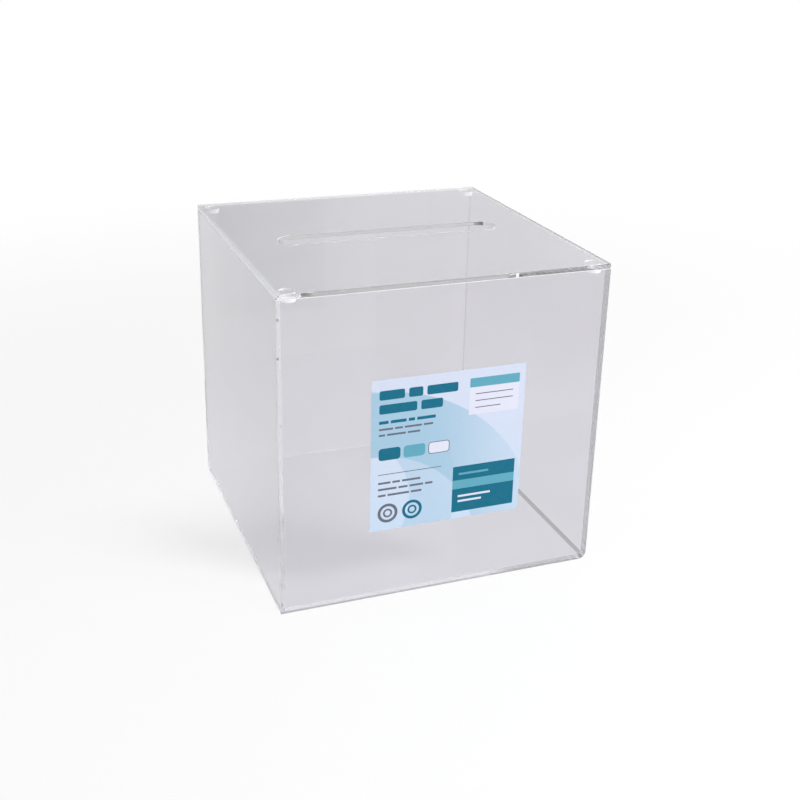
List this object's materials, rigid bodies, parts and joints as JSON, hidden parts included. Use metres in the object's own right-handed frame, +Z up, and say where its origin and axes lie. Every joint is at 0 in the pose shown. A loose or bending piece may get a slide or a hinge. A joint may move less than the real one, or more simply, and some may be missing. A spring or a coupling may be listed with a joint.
{
  "type": "ballot box",
  "caption": "Clear acrylic ballot box with a lift-off slotted lid, a bent base and right wall, and a paper label on the front.",
  "frame": {"origin": "centre of the base, on the surface that the box stands on", "axes": "+X to the right, towards the wall that is one sheet with the base; +Y to the back; +Z up. The label is on the -Y side."},
  "size_m": [0.21, 0.2101, 0.205],
  "materials": {
    "body_acrylic": "polished",
    "lid_acrylic": "polished",
    "label_paper": "satin"
  },
  "bodies": {
    "box": {"base_and_right_wall": "body_acrylic", "left_wall": "body_acrylic", "front_panel": "body_acrylic", "back_panel": "body_acrylic", "front_label": "label_paper"},
    "lid": {"lid_panel": "lid_acrylic", "lid_disc_front_left": "lid_acrylic", "lid_disc_front_right": "lid_acrylic", "lid_disc_back_left": "lid_acrylic", "lid_disc_back_right": "lid_acrylic"}
  },
  "joints": [
    {"name": "lid_lift", "type": "slide", "parent": "box", "child": "lid", "axis": [0, 0, 1], "range_m": [0, 0.12]}
  ]
}
